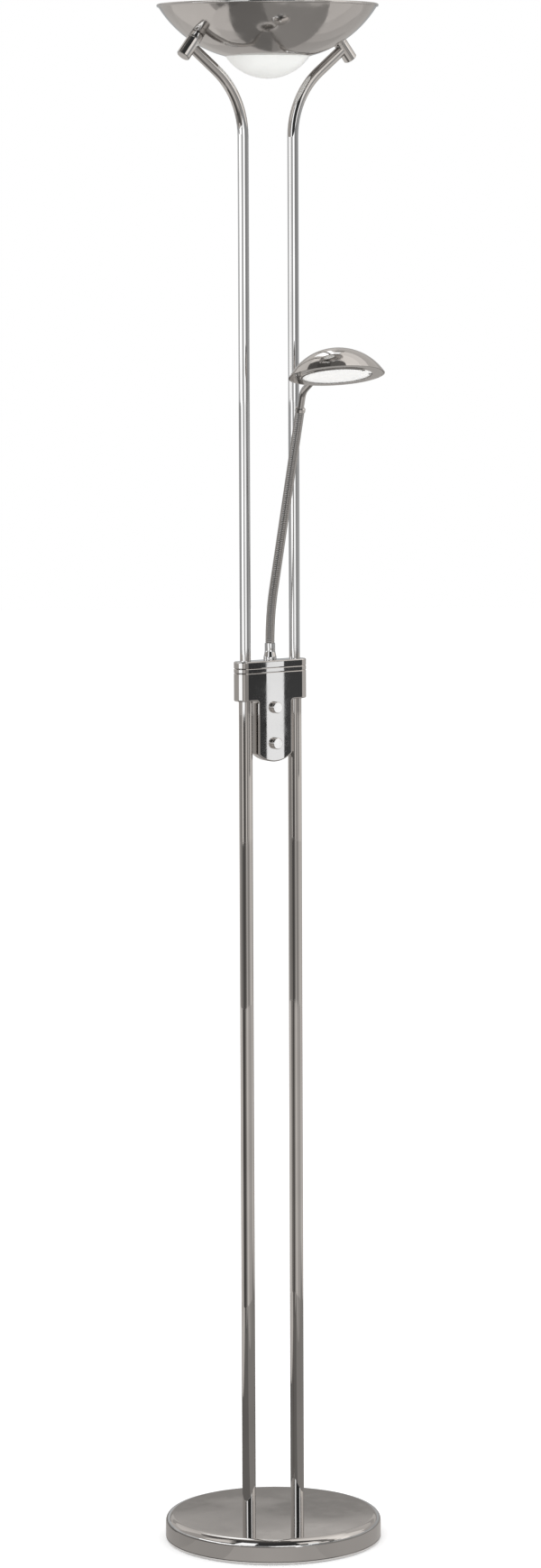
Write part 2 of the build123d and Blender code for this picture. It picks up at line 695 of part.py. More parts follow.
# ---- flexible neck ----------------------------------------------------------------------
# The arm lies in one upright plane. A place on it is a distance out and a height.
yaw = math.radians(ARM_YAW)
lean = math.radians(NECK_LEAN)
outward = Vector(-math.sin(yaw), -math.cos(yaw), 0)
sideways = Vector(math.cos(yaw), -math.sin(yaw), 0)
neck_arc = NECK_BEND_R * lean
neck_length = NECK_IN_FERRULE + neck_arc + NECK_STRAIGHT
span_visible = (neck_length - NECK_IN_FERRULE) / 3
arm_plane = Plane((0, 0, 0), x_dir=outward, z_dir=outward.cross(Vector(0, 0, 1)))


def neck_at(s):
    """Distance out, height and lean of the neck's middle line at length s from its foot."""
    if s <= NECK_IN_FERRULE:
        return 0.0, ferrule_top - NECK_IN_FERRULE + s, 0.0
    turned = min((s - NECK_IN_FERRULE) / NECK_BEND_R, lean)
    straight = max(s - NECK_IN_FERRULE - neck_arc, 0.0)
    out = NECK_BEND_R * (1 - math.cos(turned)) + straight * math.sin(turned)
    up = ferrule_top + NECK_BEND_R * math.sin(turned) + straight * math.cos(turned)
    return out, up, turned


def arm_section(out, up, angle):
    """Plane square to the arm where it leans by the angle, its X axis held sideways."""
    along = outward * math.sin(angle) + Vector(0, 0, math.cos(angle))
    return Plane(outward * out + Vector(0, 0, up), x_dir=sideways, z_dir=along)


def neck_span(start, end):
    """Ribbed length of the neck between two distances along it, with its bore.

    Each rib rises from a root circle to two crest circles and falls to the next root.
    """
    pitch = (end - start) / RIBS_PER_SPAN
    flank = (1 - RIB_CREST) / 2 * pitch
    crest, root = NECK_D / 2, NECK_D / 2 - RIB_DEEP
    steps = [(start, root)]
    for rib in range(RIBS_PER_SPAN):
        foot = start + rib * pitch
        steps += [(foot + flank, crest), (foot + pitch - flank, crest), (foot + pitch, root)]
    with BuildPart() as part:
        for s, radius in steps:
            with BuildSketch(arm_section(*neck_at(s))):
                Circle(radius)
        loft(ruled=True)
        with BuildLine(arm_plane) as path:
            bend_ends = (NECK_IN_FERRULE, NECK_IN_FERRULE + neck_arc)
            corners = [start] + [s for s in bend_ends if start < s < end] + [end]
            for a, b in zip(corners, corners[1:]):
                (xa, za, ta), (xb, zb, tb) = neck_at(a), neck_at(b)
                if tb - ta > 1e-9:
                    TangentArc((xa, za), (xb, zb), tangent=(math.sin(ta), math.cos(ta)))
                else:
                    Line((xa, za), (xb, zb))
        with BuildSketch(arm_section(*neck_at(start))):
            Circle(NECK_BORE / 2)
        sweep(path=path.wire(), mode=Mode.SUBTRACT)
    return part


span_ends = [0.0] + [NECK_IN_FERRULE + span_visible * n for n in (1, 2, 3)]
necks = {
    name: neck_span(span_ends[n], span_ends[n + 1])
    for n, name in enumerate(("lower", "middle", "upper"))
}

# ---- collar and stem --------------------------------------------------------------------
neck_end = neck_at(neck_length)
collar_plane = arm_section(*neck_end)
with BuildPart() as gooseneck_collar:
    with BuildSketch(collar_plane.offset(-COLLAR_SPIGOT)):
        Circle(NECK_BORE / 2 - FIT)
    extrude(amount=COLLAR_SPIGOT)
    with BuildSketch(collar_plane):
        Circle(NECK_D / 2 + COLLAR_PROUD)
    extrude(amount=COLLAR_H)
    collar_end = gooseneck_collar.faces().sort_by(Axis(collar_plane.origin, collar_plane.z_dir))[-1]
    chamfer(collar_end.edges(), COLLAR_H / 4)
    with BuildSketch(collar_plane.offset(COLLAR_H)):
        Circle(STEM_D / 2 + FIT)
    extrude(amount=-STEM_IN_COLLAR, mode=Mode.SUBTRACT)
    with BuildSketch(collar_plane.offset(COLLAR_H)):
        Circle(STEM_BORE / 2)
    extrude(amount=-COLLAR_H - COLLAR_SPIGOT, mode=Mode.SUBTRACT)


def along_arm(place, distance):
    """The place a distance further along the arm's own direction there."""
    out, up, angle = place
    return out + distance * math.sin(angle), up + distance * math.cos(angle), angle


stem_foot = along_arm(neck_end, COLLAR_H - STEM_IN_COLLAR)
stem_bend = along_arm(stem_foot, STEM_IN_COLLAR + STEM_RISE)
stem_angle = lean + math.radians(STEM_TURN)
stem_out = (
    stem_bend[0] + STEM_BEND_R * (math.cos(lean) - math.cos(stem_angle)),
    stem_bend[1] + STEM_BEND_R * (math.sin(stem_angle) - math.sin(lean)),
    stem_angle,
)
stem_wall = along_arm(stem_out, STEM_REACH)
stem_end = along_arm(stem_wall, STEM_IN_HEAD)
with BuildPart() as head_stem:
    with BuildLine(arm_plane) as stem_path:
        Line(stem_foot[:2], stem_bend[:2])
        TangentArc(stem_bend[:2], stem_out[:2], tangent=(math.sin(lean), math.cos(lean)))
        Line(stem_out[:2], stem_end[:2])
    with BuildSketch(arm_section(*stem_foot)):
        Circle(STEM_D / 2)
        Circle(STEM_BORE / 2, mode=Mode.SUBTRACT)
    sweep(path=stem_path.wire())

# ---- reading head -----------------------------------------------------------------------
# Its own frame: forward along the arm and tipped up, with "rise" square to its rim.
head_centre = outward * HEAD_OUT + Vector(0, 0, ferrule_top + HEAD_UP)
tipped = math.radians(HEAD_TIP)
rolled = math.radians(HEAD_ROLL)
rise = (Vector(0, 0, math.cos(tipped)) - outward * math.sin(tipped)) * math.cos(rolled)
rise = (rise + sideways * math.sin(rolled)).normalized()
forward = (outward - rise * outward.dot(rise)).normalized()
rim_plane = Plane(head_centre, x_dir=forward, z_dir=rise)
turning_plane = Plane(head_centre, x_dir=forward, z_dir=forward.cross(rise))
head_axis = Axis(head_centre, rise)

rim_r = HEAD_D / 2
cap_r = (rim_r**2 + HEAD_RISE**2) / (2 * HEAD_RISE)
cap_drop = cap_r - HEAD_RISE  # the dome's centre lies this far under the rim


def dome_section(radius, rim_height):
    """Radius of the dome of that radius where it crosses a height above the rim."""
    return math.sqrt(radius**2 - (rim_height + cap_drop) ** 2)


def dome(radius, floor):
    """Solid dome of a radius about the cap's centre, cut off level at a height above the rim."""
    edge = dome_section(radius, floor)
    middle = math.atan2(floor + cap_drop, edge) / 2 + math.pi / 4
    with BuildPart() as part:
        with BuildSketch(turning_plane):
            with BuildLine():
                ThreePointArc(
                    (edge, floor),
                    (radius * math.cos(middle), radius * math.sin(middle) - cap_drop),
                    (0, radius - cap_drop),
                )
                Line((0, radius - cap_drop), (0, floor))
                Line((0, floor), (edge, floor))
            make_face()
        revolve(axis=head_axis)
    return part.part


stem_hole = arm_section(*stem_out)
with BuildPart() as head_shell:
    add(dome(cap_r, 0))
    add(dome(cap_r - HEAD_WALL, 0), mode=Mode.SUBTRACT)
    with BuildSketch(stem_hole):
        Circle(STEM_D / 2 + SEAT)
    extrude(amount=STEM_REACH + STEM_IN_HEAD, mode=Mode.SUBTRACT)

# The ring closes the shell's mouth inside its wall, with a bead round the lens.
ring_r = dome_section(cap_r - HEAD_WALL, RING_T) - SEAT
opening = RING_OPENING / 2
with BuildPart() as head_ring:
    with BuildSketch(turning_plane):
        with BuildLine():
            Polyline(
                (opening, RING_T),
                (opening, 0),
                (opening + RING_BEAD / 2, -RING_BEAD / 2),
                (opening + RING_BEAD, 0),
                (ring_r, 0),
                (ring_r, RING_T),
                close=True,
            )
        make_face()
    revolve(axis=head_axis)

with BuildPart() as head_lens:
    with BuildSketch(rim_plane.offset(RING_T)):
        Circle(opening + LENS_FLANGE)
    extrude(amount=LENS_T - RING_T)
    with BuildSketch(rim_plane):
        Circle(opening - SEAT)
    extrude(amount=LENS_T)
    fillet(head_lens.edges().sort_by(head_axis)[0], RING_T / 2)

# A flat sprung ring lies against the lens, its two ends hooked inward either side of a gap.
clip_outer = opening - SEAT
clip_inner = clip_outer - CIRCLIP_WIRE
gap_ends = [math.radians(CIRCLIP_AT + turn * CIRCLIP_GAP / 2) for turn in (-1, 0, 1)]
gap_corners = [(2 * clip_outer * math.cos(t), 2 * clip_outer * math.sin(t)) for t in gap_ends]
with BuildPart() as lens_circlip:
    with BuildSketch(rim_plane):
        Circle(clip_outer)
        Circle(clip_inner, mode=Mode.SUBTRACT)
        with BuildLine():
            Polyline((0, 0), *gap_corners, close=True)
        make_face(mode=Mode.SUBTRACT)
        for turn in (-1, 1):
            at = CIRCLIP_AT + turn * (CIRCLIP_GAP / 2 + math.degrees(CIRCLIP_WIRE / clip_outer / 2))
            with PolarLocations(clip_outer - CIRCLIP_HOOK / 2 - CIRCLIP_WIRE / 2, 1, start_angle=at):
                Rectangle(CIRCLIP_HOOK, CIRCLIP_WIRE)
    extrude(amount=-CIRCLIP_WIRE)

# The hub is shaped to the inside of the dome, and the stem's end is fixed in it.
hub_floor = LENS_T + SEAT
with BuildPart() as head_hub:
    add(dome(cap_r - HEAD_WALL - SEAT, hub_floor))
    with BuildSketch(rim_plane.offset(hub_floor)):
        with Locations((-HUB_FRONT - rim_r / 2, 0)):
            Rectangle(rim_r, HUB_W)
    extrude(amount=HUB_H, mode=Mode.INTERSECT)
    with BuildSketch(stem_hole):
        Circle(STEM_D / 2 + FIT)
    extrude(amount=STEM_REACH + STEM_IN_HEAD + FIT, mode=Mode.SUBTRACT)

holder_face = Plane(
    head_centre - forward * HUB_FRONT + rise * (hub_floor + CAP_HOLDER[2] / 2),
    x_dir=rise,
    z_dir=forward,
)
with BuildPart() as head_lampholder:
    with BuildSketch(holder_face):
        RectangleRounded(CAP_HOLDER[2], CAP_HOLDER[1], CAP_HOLDER_R)
    extrude(amount=CAP_HOLDER[0])
    with BuildSketch(holder_face.offset(CAP_HOLDER[0])):
        Rectangle(CAPSULE_PINCH / 2 + 2 * FIT, CAPSULE_PINCH + 2 * FIT)
    extrude(amount=-CAPSULE_PINCH, mode=Mode.SUBTRACT)

with BuildPart() as halogen_capsule:
    seat = holder_face.offset(CAP_HOLDER[0] - CAPSULE_PINCH + FIT)
    with BuildSketch(seat):
        Rectangle(CAPSULE_PINCH / 2, CAPSULE_PINCH)
    extrude(amount=CAPSULE_PINCH + 2 * FIT)
    with BuildSketch(seat.offset(CAPSULE_PINCH)):
        Circle(CAPSULE_D / 2)
    extrude(amount=CAPSULE_L)
    capsule_end = halogen_capsule.faces().sort_by(Axis(seat.origin, forward))[-1]
    fillet(capsule_end.edges(), CAPSULE_D / 2 - LAMP_TIP_R)

# ---- bowl and its glass -----------------------------------------------------------------
outer_arc, inner_arc = wall_arc_r + BOWL_WALL / 2, wall_arc_r - BOWL_WALL / 2
from_opening = math.degrees(math.atan2(opening_z - arc_z, opening_r - arc_r))
to_bead = math.degrees(math.atan2(bead_z - arc_z, bead_r - arc_r))


def on_arc(radius, degrees):
    """A point of the bowl's section at a radius and direction from its arc's centre."""
    turn = math.radians(degrees)
    return arc_r + radius * math.cos(turn), arc_z + radius * math.sin(turn)


def across_bowl(side, depth):
    """Plane square to a barrel's axis, a depth inside the bowl's outer face, facing in."""
    out = outer_arc - depth
    centre = Vector(side * (arc_r + out * math.sin(tip)), 0, arc_z - out * math.cos(tip))
    return Plane(centre, x_dir=(0, 1, 0), z_dir=(-side * math.sin(tip), 0, math.cos(tip)))


with BuildPart() as bowl_shell:
    with BuildSketch(Plane.XZ):
        with BuildLine():
            CenterArc((arc_r, arc_z), outer_arc, from_opening, to_bead - from_opening)
            CenterArc((arc_r, arc_z), inner_arc, from_opening, to_bead - from_opening)
            Line(on_arc(outer_arc, from_opening), on_arc(inner_arc, from_opening))
            Line(on_arc(outer_arc, to_bead), on_arc(inner_arc, to_bead))
        make_face()
        with Locations((bead_r, bead_z)):
            Circle(BEAD_D / 2)
    revolve(axis=Axis.Z)
    with BuildSketch(*[across_bowl(side, -BOWL_WALL) for side in sides.values()]):
        Circle(BOWL_SCREW_D / 2 + SCREW_FREE)
    extrude(amount=3 * BOWL_WALL, mode=Mode.SUBTRACT)

# The glass hangs in the bowl's bottom opening by its flange.
edge_outer = on_arc(outer_arc, from_opening)
neck_r = edge_outer[0] - 3 * SEAT
flange_r = edge_outer[0] + GLASS_FLANGE
flange_z = arc_z - math.sqrt(inner_arc**2 - (flange_r - arc_r) ** 2) + FIT
dome_top = edge_outer[1]
glass_r = (neck_r**2 + GLASS_SAG**2) / (2 * GLASS_SAG)
glass_centre = dome_top - GLASS_SAG + glass_r
inside_neck_r = neck_r - GLASS_WALL
inside_glass_r = glass_r - GLASS_WALL
inside_top = glass_centre - math.sqrt(inside_glass_r**2 - inside_neck_r**2)
glass_top = flange_z + GLASS_WALL
halfway = math.asin(neck_r / glass_r) / 2
with BuildPart() as glass_dome:
    with BuildSketch(Plane.XZ):
        with BuildLine():
            ThreePointArc(
                (0, glass_centre - glass_r),
                (glass_r * math.sin(halfway), glass_centre - glass_r * math.cos(halfway)),
                (neck_r, dome_top),
            )
            Polyline(
                (neck_r, dome_top),
                (neck_r, flange_z),
                (flange_r, flange_z),
                (flange_r, glass_top),
                (inside_neck_r, glass_top),
                (inside_neck_r, inside_top),
            )
            ThreePointArc(
                (inside_neck_r, inside_top),
                (
                    inside_glass_r * math.sin(halfway),
                    glass_centre - inside_glass_r * math.cos(halfway),
                ),
                (0, glass_centre - inside_glass_r),
            )
            Line((0, glass_centre - inside_glass_r), (0, glass_centre - glass_r))
        make_face()
    revolve(axis=Axis.Z)

# ---- uplight: strap, spacers, screws, lampholders and lamp ---------------------------------
strap_z = glass_top + STRAP_Z_OVER_GLASS
spacer_depth = BOWL_WALL + 2 * SEAT
tab_depth = spacer_depth + SPACER_T
head_depth = tab_depth + STRAP_T
with BuildPart() as bowl_spacers:
    with BuildSketch(*[across_bowl(side, spacer_depth) for side in sides.values()]):
        Circle(SPACER_D / 2)
        Circle(BOWL_SCREW_D / 2 + SCREW_FREE, mode=Mode.SUBTRACT)
    extrude(amount=SPACER_T)

with BuildPart() as bowl_screws:
    for side in sides.values():
        with BuildSketch(across_bowl(side, head_depth)):
            Circle(BOWL_SCREW_D / 2)
        extrude(amount=-head_depth - SEAT - BOWL_SCREW_BITE)
        with BuildSketch(across_bowl(side, head_depth)):
            Circle(BOWL_SCREW_HEAD[0] / 2)
        extrude(amount=BOWL_SCREW_HEAD[1], taper=BOWL_SCREW_TAPER)


# The strap is a bent strip: a tab under each screw, sloping in to a level middle.
def strap_corner(side, depth, beyond):
    """A point on a tab's face, measured along the slope from the screw's axis."""
    origin = across_bowl(side, depth).origin
    return origin.X + side * beyond * math.cos(tip), origin.Z + beyond * math.sin(tip)


def strap_knee(side, depth, z):
    """Where a tab's face meets the level middle's face at height z."""
    origin = across_bowl(side, depth).origin
    return origin.X - side * (origin.Z - z) / math.tan(tip), z


with BuildPart() as lamp_strap:
    with BuildSketch(Plane.XZ):
        with BuildLine():
            Polyline(
                strap_corner(-1, tab_depth, STRAP_TAB / 2),
                strap_knee(-1, tab_depth, strap_z),
                strap_knee(1, tab_depth, strap_z),
                strap_corner(1, tab_depth, STRAP_TAB / 2),
                strap_corner(1, head_depth, STRAP_TAB / 2),
                strap_knee(1, head_depth, strap_z + STRAP_T),
                strap_knee(-1, head_depth, strap_z + STRAP_T),
                strap_corner(-1, head_depth, STRAP_TAB / 2),
                close=True,
            )
        make_face()
    extrude(amount=STRAP_W / 2, both=True)
    with BuildSketch(*[across_bowl(side, 0) for side in sides.values()]):
        Circle(BOWL_SCREW_D / 2 + SCREW_FREE)
    extrude(amount=2 * head_depth, mode=Mode.SUBTRACT)

lamp_z = strap_z + STRAP_T + LAMP_UP
lamp_tip = LAMP_L / 2
holder_x = lamp_tip - HOLDER_RECESS + FIT


def lampholder(side):
    """Ceramic lampholder standing on the strap, with a recess for the lamp's end."""
    with BuildPart() as part:
        with BuildSketch(Plane.XY.offset(strap_z + STRAP_T)):
            with Locations((side * (holder_x + HOLDER[0] / 2), 0)):
                Rectangle(HOLDER[0], HOLDER[1])
        extrude(amount=HOLDER[2])
        fillet(part.edges().filter_by(Axis.Y).group_by(Axis.Z)[-1], HOLDER_EDGE_R)
        facing = Plane((side * holder_x, 0, lamp_z), x_dir=(0, 1, 0), z_dir=(side, 0, 0))
        with BuildSketch(facing):
            Circle(LAMP_CAP[0] / 2 + SEAT)
        extrude(amount=HOLDER_RECESS, mode=Mode.SUBTRACT)
    return part


lampholders = {name: lampholder(s) for name, s in sides.items()}

# A double-ended linear lamp: quartz tube, flattened pinches and a ceramic cap at each end.
with BuildPart() as linear_lamp:
    middle_plane = Plane((0, 0, lamp_z), x_dir=(0, 1, 0), z_dir=(1, 0, 0))
    pinch_from = lamp_tip - 2 * LAMP_CAP[1]
    with BuildSketch(middle_plane):
        Circle(LAMP_D / 2)
    extrude(amount=pinch_from, both=True)
    fillet(linear_lamp.edges(), LAMP_D / 2 - LAMP_TIP_R)
    with BuildSketch(middle_plane):
        Rectangle(*LAMP_PINCH)
    extrude(amount=lamp_tip - LAMP_CAP[1], both=True)
    for side in sides.values():
        with BuildSketch(middle_plane.offset(side * (lamp_tip - LAMP_CAP[1]))):
            Circle(LAMP_CAP[0] / 2)
        extrude(amount=side * LAMP_CAP[1])

# ---- every piece under its name -----------------------------------------------------------
pieces = {
    "base_cover": base_cover,
    "base_weight": base_weight,
    "base_pad": base_pad,
    "base_washers": base_washers,
    "base_nuts": base_nuts,
    "base_studs": base_studs,
    "base_grommet": base_grommet,
    "pole_plugs": pole_plugs,
    "housing_front": housing_front,
    "housing_back": housing_back,
    "housing_screws": housing_screws,
    "control_board": control_board,
    "terminal_block": terminal_block,
    "arm_ferrule": arm_ferrule,
    "ferrule_nut": ferrule_nut,
    "gooseneck_collar": gooseneck_collar,
    "head_stem": head_stem,
    "head_shell": head_shell,
    "head_ring": head_ring,
    "head_lens": head_lens,
    "lens_circlip": lens_circlip,
    "head_hub": head_hub,
    "head_lampholder": head_lampholder,
    "halogen_capsule": halogen_capsule,
    "bowl_shell": bowl_shell,
    "glass_dome": glass_dome,
    "bowl_spacers": bowl_spacers,
    "bowl_screws": bowl_screws,
    "lamp_strap": lamp_strap,
    "linear_lamp": linear_lamp,
}
for side in sides:
    pieces[f"lower_pole_{side}"] = lower_poles[side]
    pieces[f"pole_coupler_{side}"] = couplers[side]
    pieces[f"upper_pole_{side}"] = upper_poles[side]
    pieces[f"barrel_{side}"] = barrels[side]
    pieces[f"lampholder_{side}"] = lampholders[side]
for row in dial_z:
    pieces[f"dimmer_{row}"] = dimmers[row]
    pieces[f"dimmer_shaft_{row}"] = dimmer_shafts[row]
    pieces[f"knob_{row}"] = knobs[row]
for span, neck in necks.items():
    pieces[f"gooseneck_{span}"] = neck

for label, piece in pieces.items():
    piece.part.label = label
    export_step(piece.part, f"parts/{label}.step")
print(len(pieces), "pieces written")
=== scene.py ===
import bpy
import json
import math
from collections import Counter
from mathutils import Matrix, Vector


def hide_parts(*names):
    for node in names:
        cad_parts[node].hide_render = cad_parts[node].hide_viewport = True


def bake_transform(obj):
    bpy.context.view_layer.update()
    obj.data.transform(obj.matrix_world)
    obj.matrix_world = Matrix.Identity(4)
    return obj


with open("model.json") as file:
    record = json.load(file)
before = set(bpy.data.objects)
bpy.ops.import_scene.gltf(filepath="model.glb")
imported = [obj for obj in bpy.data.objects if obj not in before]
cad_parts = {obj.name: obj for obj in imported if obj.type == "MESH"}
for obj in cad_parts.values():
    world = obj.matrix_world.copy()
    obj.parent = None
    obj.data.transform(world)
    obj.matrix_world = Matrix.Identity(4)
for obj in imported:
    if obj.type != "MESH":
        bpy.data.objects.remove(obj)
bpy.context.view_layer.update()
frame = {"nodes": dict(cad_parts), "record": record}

# %% [markdown]
# A floor lamp of plated steel: a round base, two poles that carry a wide bowl, a cast housing
# with two dials half way up, and a flexible reading arm with a shallow shade. The imported model
# is loaded above as a fixed frame, in metres, with +Z up and the dials facing -Y. Every shape
# made below sits in that frame, and every finish is mixed from nodes, with no pictures.

# %% The loaded nodes
nodes = frame["nodes"]

# %% [markdown]
# Every finish on this lamp is one shader node with a few small nodes in front of it: noise for
# the unevenness, a ramp that turns the noise into colours, a range that turns it into haze and
# a bump that turns it into relief. Writing each of these once keeps the recipes short. All of
# them read Object coordinates, which for these pieces are metres in the shared frame.


# %% Helpers for mixing finishes
def new_finish(name):
    """An empty node material: its tree, its shader and the piece's own coordinates."""
    material = bpy.data.materials.new(name)
    material.use_nodes = True
    tree = material.node_tree
    shader = tree.nodes["Principled BSDF"]
    place = tree.nodes.new("ShaderNodeTexCoord").outputs["Object"]
    return material, tree, shader, place


def set_up(node, settings):
    """Gives a node's inputs plain values."""
    for name, value in settings.items():
        node.inputs[name].default_value = value


def noise(tree, place, lumps_per_metre, detail):
    """Noise with so many lumps to the metre."""
    lumps = tree.nodes.new("ShaderNodeTexNoise")
    set_up(lumps, {"Scale": lumps_per_metre, "Detail": detail})
    tree.links.new(place, lumps.inputs["Vector"])
    return lumps.outputs["Fac"]


def tones(tree, value, *stops):
    """Turns a value from 0 to 1 into colours; each stop is a place and a colour."""
    ramp = tree.nodes.new("ShaderNodeValToRGB")
    for point, (at, colour) in zip(ramp.color_ramp.elements, stops, strict=True):
        point.position = at
        point.color = (*colour, 1.0)
    tree.links.new(value, ramp.inputs["Fac"])
    return ramp.outputs["Color"]


def between(tree, value, low, high, at=(0.0, 1.0)):
    """Spreads a value between two numbers."""
    spread = tree.nodes.new("ShaderNodeMapRange")
    set_up(spread, {"From Min": at[0], "From Max": at[1], "To Min": low, "To Max": high})
    tree.links.new(value, spread.inputs["Value"])
    return spread.outputs["Result"]


def relief(tree, value, height):
    """Bumps as high as given, in metres."""
    bump = tree.nodes.new("ShaderNodeBump")
    set_up(bump, {"Strength": 1.0, "Distance": height})
    tree.links.new(value, bump.inputs["Height"])
    return bump.outputs["Normal"]


def shade(colour, factor):
    """The same colour, lighter or darker."""
    return tuple(min(1.0, part * factor) for part in colour)


# %% [markdown]
# Bright plating has almost no colour of its own. What tells the eye that it is metal is the
# room in it, so its nodes only add what real plating has: a faint drift in tone, a little
# haze where hands and cloths have been, and on some pieces a waviness from the polishing wheel.

# %% One recipe for all plating
PATCHES, WIPES = 9.0, 60.0  # patches of tone and wiped places, to the metre
DEEPEST, PALEST = 0.93, 1.05  # tone of the patches against the plating's own
CLEAREST, HAZIEST = 0.6, 1.7  # haze of the wiped places against the plating's own
finishes = {}


def plating(name, colour, haze, wave=0.0, waves_per_metre=0.0):
    """Polished or satin plating, with its drift in tone, haze and waviness."""
    material, tree, shader, place = new_finish(name)
    set_up(shader, {"Metallic": 1.0})
    drift = noise(tree, place, PATCHES, 3.0)
    colours = tones(tree, drift, (0.35, shade(colour, DEEPEST)), (0.7, shade(colour, PALEST)))
    tree.links.new(colours, shader.inputs["Base Color"])
    wiped = noise(tree, place, WIPES, 5.0)
    hazes = between(tree, wiped, haze * CLEAREST, haze * HAZIEST, at=(0.35, 0.75))
    tree.links.new(hazes, shader.inputs["Roughness"])
    if wave:
        slow = noise(tree, place, waves_per_metre, 1.0)
        tree.links.new(relief(tree, slow, wave), shader.inputs["Normal"])
    finishes[name] = material


# %% [markdown]
# The plated pieces differ in how they were made. Drawn tube and the cast housing are polished
# until they mirror almost sharply. The pressed base and the spun bowl keep wide soft waves, and
# the turned barrels fine ones. The bowl, the shade and its ring are a little hazy. The wound
# neck is darker as painted shade between its ridges, and its stem is a little darker too. Each
# gets its own mix.

# %% Plated finishes
chrome = (0.585, 0.568, 0.555)
plating("satin_chrome", chrome, 0.035, wave=0.0004, waves_per_metre=8.0)
plating("tube_chrome", chrome, 0.02)
plating("turned_chrome", chrome, 0.03, wave=0.00002, waves_per_metre=90.0)
plating("housing_chrome", chrome, 0.014)
plating("knob_chrome", shade(chrome, 1.2), 0.03)
# the neck is darkened as painted shade between its ridges; the stem is only made a little darker
plating("neck_chrome", shade(chrome, 0.72), 0.05)
plating("stem_chrome", shade(chrome, 0.85), 0.06)
plating("shade_chrome", chrome, 0.07, wave=0.0001, waves_per_metre=30.0)
plating("ring_chrome", chrome, 0.08)
plating("bowl_chrome", chrome, 0.1, wave=0.0005, waves_per_metre=14.0)
plating("zinc_steel", (0.5, 0.5, 0.48), 0.35)
plating("turned_brass", (0.78, 0.6, 0.3), 0.25)
plating("spring_steel", (0.32, 0.31, 0.3), 0.25)
plating("cast_zinc", (0.45, 0.45, 0.46), 0.45)
plating("galvanised_strap", (0.6, 0.61, 0.62), 0.4)
print(len(finishes), "plated finishes")

# %% [markdown]
# The pieces that aren't plated are matt or milky: rubber, moulded plastic, ceramic, a sanded
# casting. Each has a grain of its own size. One helper mixes them all, because they differ
# only in colour, grain and how dull they are.


# %% Matt and moulded finishes
def moulded(name, colour, dull, grain, depth, mottled=0.15):
    """A matt or moulded surface: mottled a little, dull, with a fine grain."""
    material, tree, shader, place = new_finish(name)
    mottle = noise(tree, place, grain / 6, 4.0)
    pale, deep = shade(colour, 1.0 + mottled * 2 / 3), shade(colour, 1.0 - mottled)
    tree.links.new(tones(tree, mottle, (0.3, deep), (0.75, pale)), shader.inputs["Base Color"])
    fine = noise(tree, place, grain, 6.0)
    tree.links.new(between(tree, fine, dull * 0.85, dull * 1.15), shader.inputs["Roughness"])
    if depth:
        tree.links.new(relief(tree, fine, depth), shader.inputs["Normal"])
    finishes[name] = material
    return shader


moulded("cast_weight", (0.09, 0.09, 0.095), 0.75, grain=900.0, depth=0.0003)
moulded("foot_pad", (0.03, 0.03, 0.03), 0.9, grain=1500.0, depth=0.0002)
moulded("black_rubber", (0.02, 0.02, 0.02), 0.6, grain=1800.0, depth=0.0001)
moulded("circuit_board", (0.03, 0.16, 0.07), 0.4, grain=800.0, depth=0.00005, mottled=0.4)
moulded("white_plastic", (0.8, 0.79, 0.76), 0.35, grain=1200.0, depth=0.00003)
moulded("black_plastic", (0.025, 0.025, 0.028), 0.4, grain=1200.0, depth=0.00003)
moulded("lamp_ceramic", (0.82, 0.79, 0.72), 0.55, grain=1500.0, depth=0.00008)
print(len(finishes), "finishes so far")

# %% [markdown]
# Three kinds of glass are on the lamp. The dome under the bowl is opal glass, milky all
# through and satin outside. The lens of the reading light is frosted. The lamps themselves
# are clear quartz. Milky glass is mixed as a white body that lets some light pass under the
# surface, which is quicker and steadier than tracing light through a cloudy volume. Both
# milky glasses also glow as painted light, faintly on the dome and more on the lens, which
# makes them brighter than the lamps alone would.


# %% Glass finishes
def milk_glass(name, colour, dull, depth, glow):
    """White glass, satin outside, that light sinks into a little; its faint glow is painted
    light.
    """
    shader = moulded(name, colour, dull, grain=500.0, depth=0.0, mottled=0.012)
    set_up(shader, {
        "Subsurface Weight": 0.2, "Subsurface Scale": depth,
        "Subsurface Radius": (1.0, 0.97, 0.9), "Coat Weight": 0.25, "Coat Roughness": 0.25,
        "Emission Strength": glow,
    })


# the glow is painted light that brightens the glass: faint on the dome, stronger on the lens
milk_glass("opal_glass", (0.915, 0.92, 0.895), 0.3, depth=0.004, glow=0.02)
milk_glass("frosted_lens", (0.985, 0.98, 0.965), 0.35, depth=0.003, glow=0.14)

material, tree, shader, place = new_finish("quartz_glass")
set_up(shader, {"Transmission Weight": 1.0, "IOR": 1.46, "Base Color": (0.97, 0.98, 0.98, 1.0)})
smears = between(tree, noise(tree, place, 300.0, 3.0), 0.02, 0.08)
tree.links.new(smears, shader.inputs["Roughness"])
finishes["quartz_glass"] = material
print(len(finishes), "finishes in all")

# %% [markdown]
# The record says which finish each node takes. Assigning the materials from it, instead of
# from a list written by hand, means that a node can't be forgotten.

# %% Give every node its finish
pieces = frame["record"]["subparts"]
for piece in pieces:
    slots = nodes[piece["node"]].data.materials
    slots.clear()
    slots.append(finishes[piece["material_slot"]])
print(len({piece["material_slot"] for piece in pieces}), "finishes in use")

# %% [markdown]
# The flexible neck is a steel strip wound into a tube, each turn a rounded ridge two
# millimetres wide. It is made straight first: the ridge's outline and the bore's line are
# turned round the tube's axis as a screw, and a curve then bends the finished winding to the
# arm's own line. Its three lengths are cut from copies, so their ridges run on across the cuts.

